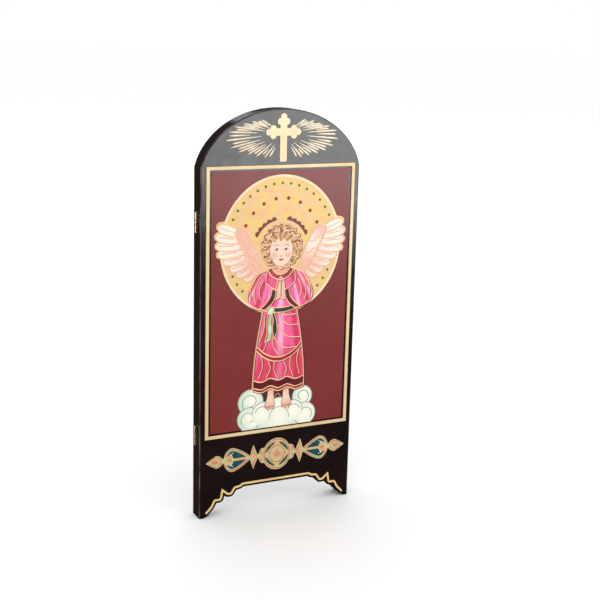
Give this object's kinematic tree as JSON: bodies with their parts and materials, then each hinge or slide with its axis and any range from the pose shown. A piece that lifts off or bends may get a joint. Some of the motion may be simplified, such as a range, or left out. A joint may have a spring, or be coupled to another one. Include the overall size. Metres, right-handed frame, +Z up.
{
  "type": "folding screen",
  "caption": "Small two-panel folding screen of black lacquered boards with an arched top, scalloped feet, gilt frame, enamelled angel picture, cross and base ornament, hinged on one side.",
  "frame": {"origin": "centre of the bounding box at the level of the feet, with the screen folded flat; the seam between the two boards is the plane y = 0", "axes": "+Z up, the pictured front board faces -Y, +X to the right of a viewer facing the picture, hinges on the -X edge"},
  "size_m": [0.0544, 0.0068, 0.13],
  "materials": {
    "lacquer": "high-gloss black lacquer, thinly rubbed to brown on the outer arris",
    "gilt": "thin etched gilt sheet, satin",
    "pale_gilt": "pale cream-gold sheet, satin",
    "enamel": "glossy maroon enamel",
    "hinge_brass": "aged brass, dull"
  },
  "bodies": {
    "front_panel": {"front_board": "lacquer", "front_frame": "gilt", "front_ground": "enamel", "front_icon": "gilt", "front_cross": "pale_gilt", "front_ornament": "gilt", "front_edging": "gilt", "upper_hinge_front_leaf": "hinge_brass", "upper_hinge_pin": "hinge_brass", "lower_hinge_front_leaf": "hinge_brass", "lower_hinge_pin": "hinge_brass"},
    "rear_panel": {"rear_board": "lacquer", "rear_frame": "gilt", "rear_ground": "enamel", "rear_edging": "gilt", "upper_hinge_rear_leaf": "hinge_brass", "lower_hinge_rear_leaf": "hinge_brass"}
  },
  "joints": [
    {"name": "fold", "type": "hinge", "parent": "front_panel", "child": "rear_panel", "pos_m": [-0.02643, 0, 0], "axis": [0, 0, 1], "range_deg": [0, 180]}
  ]
}
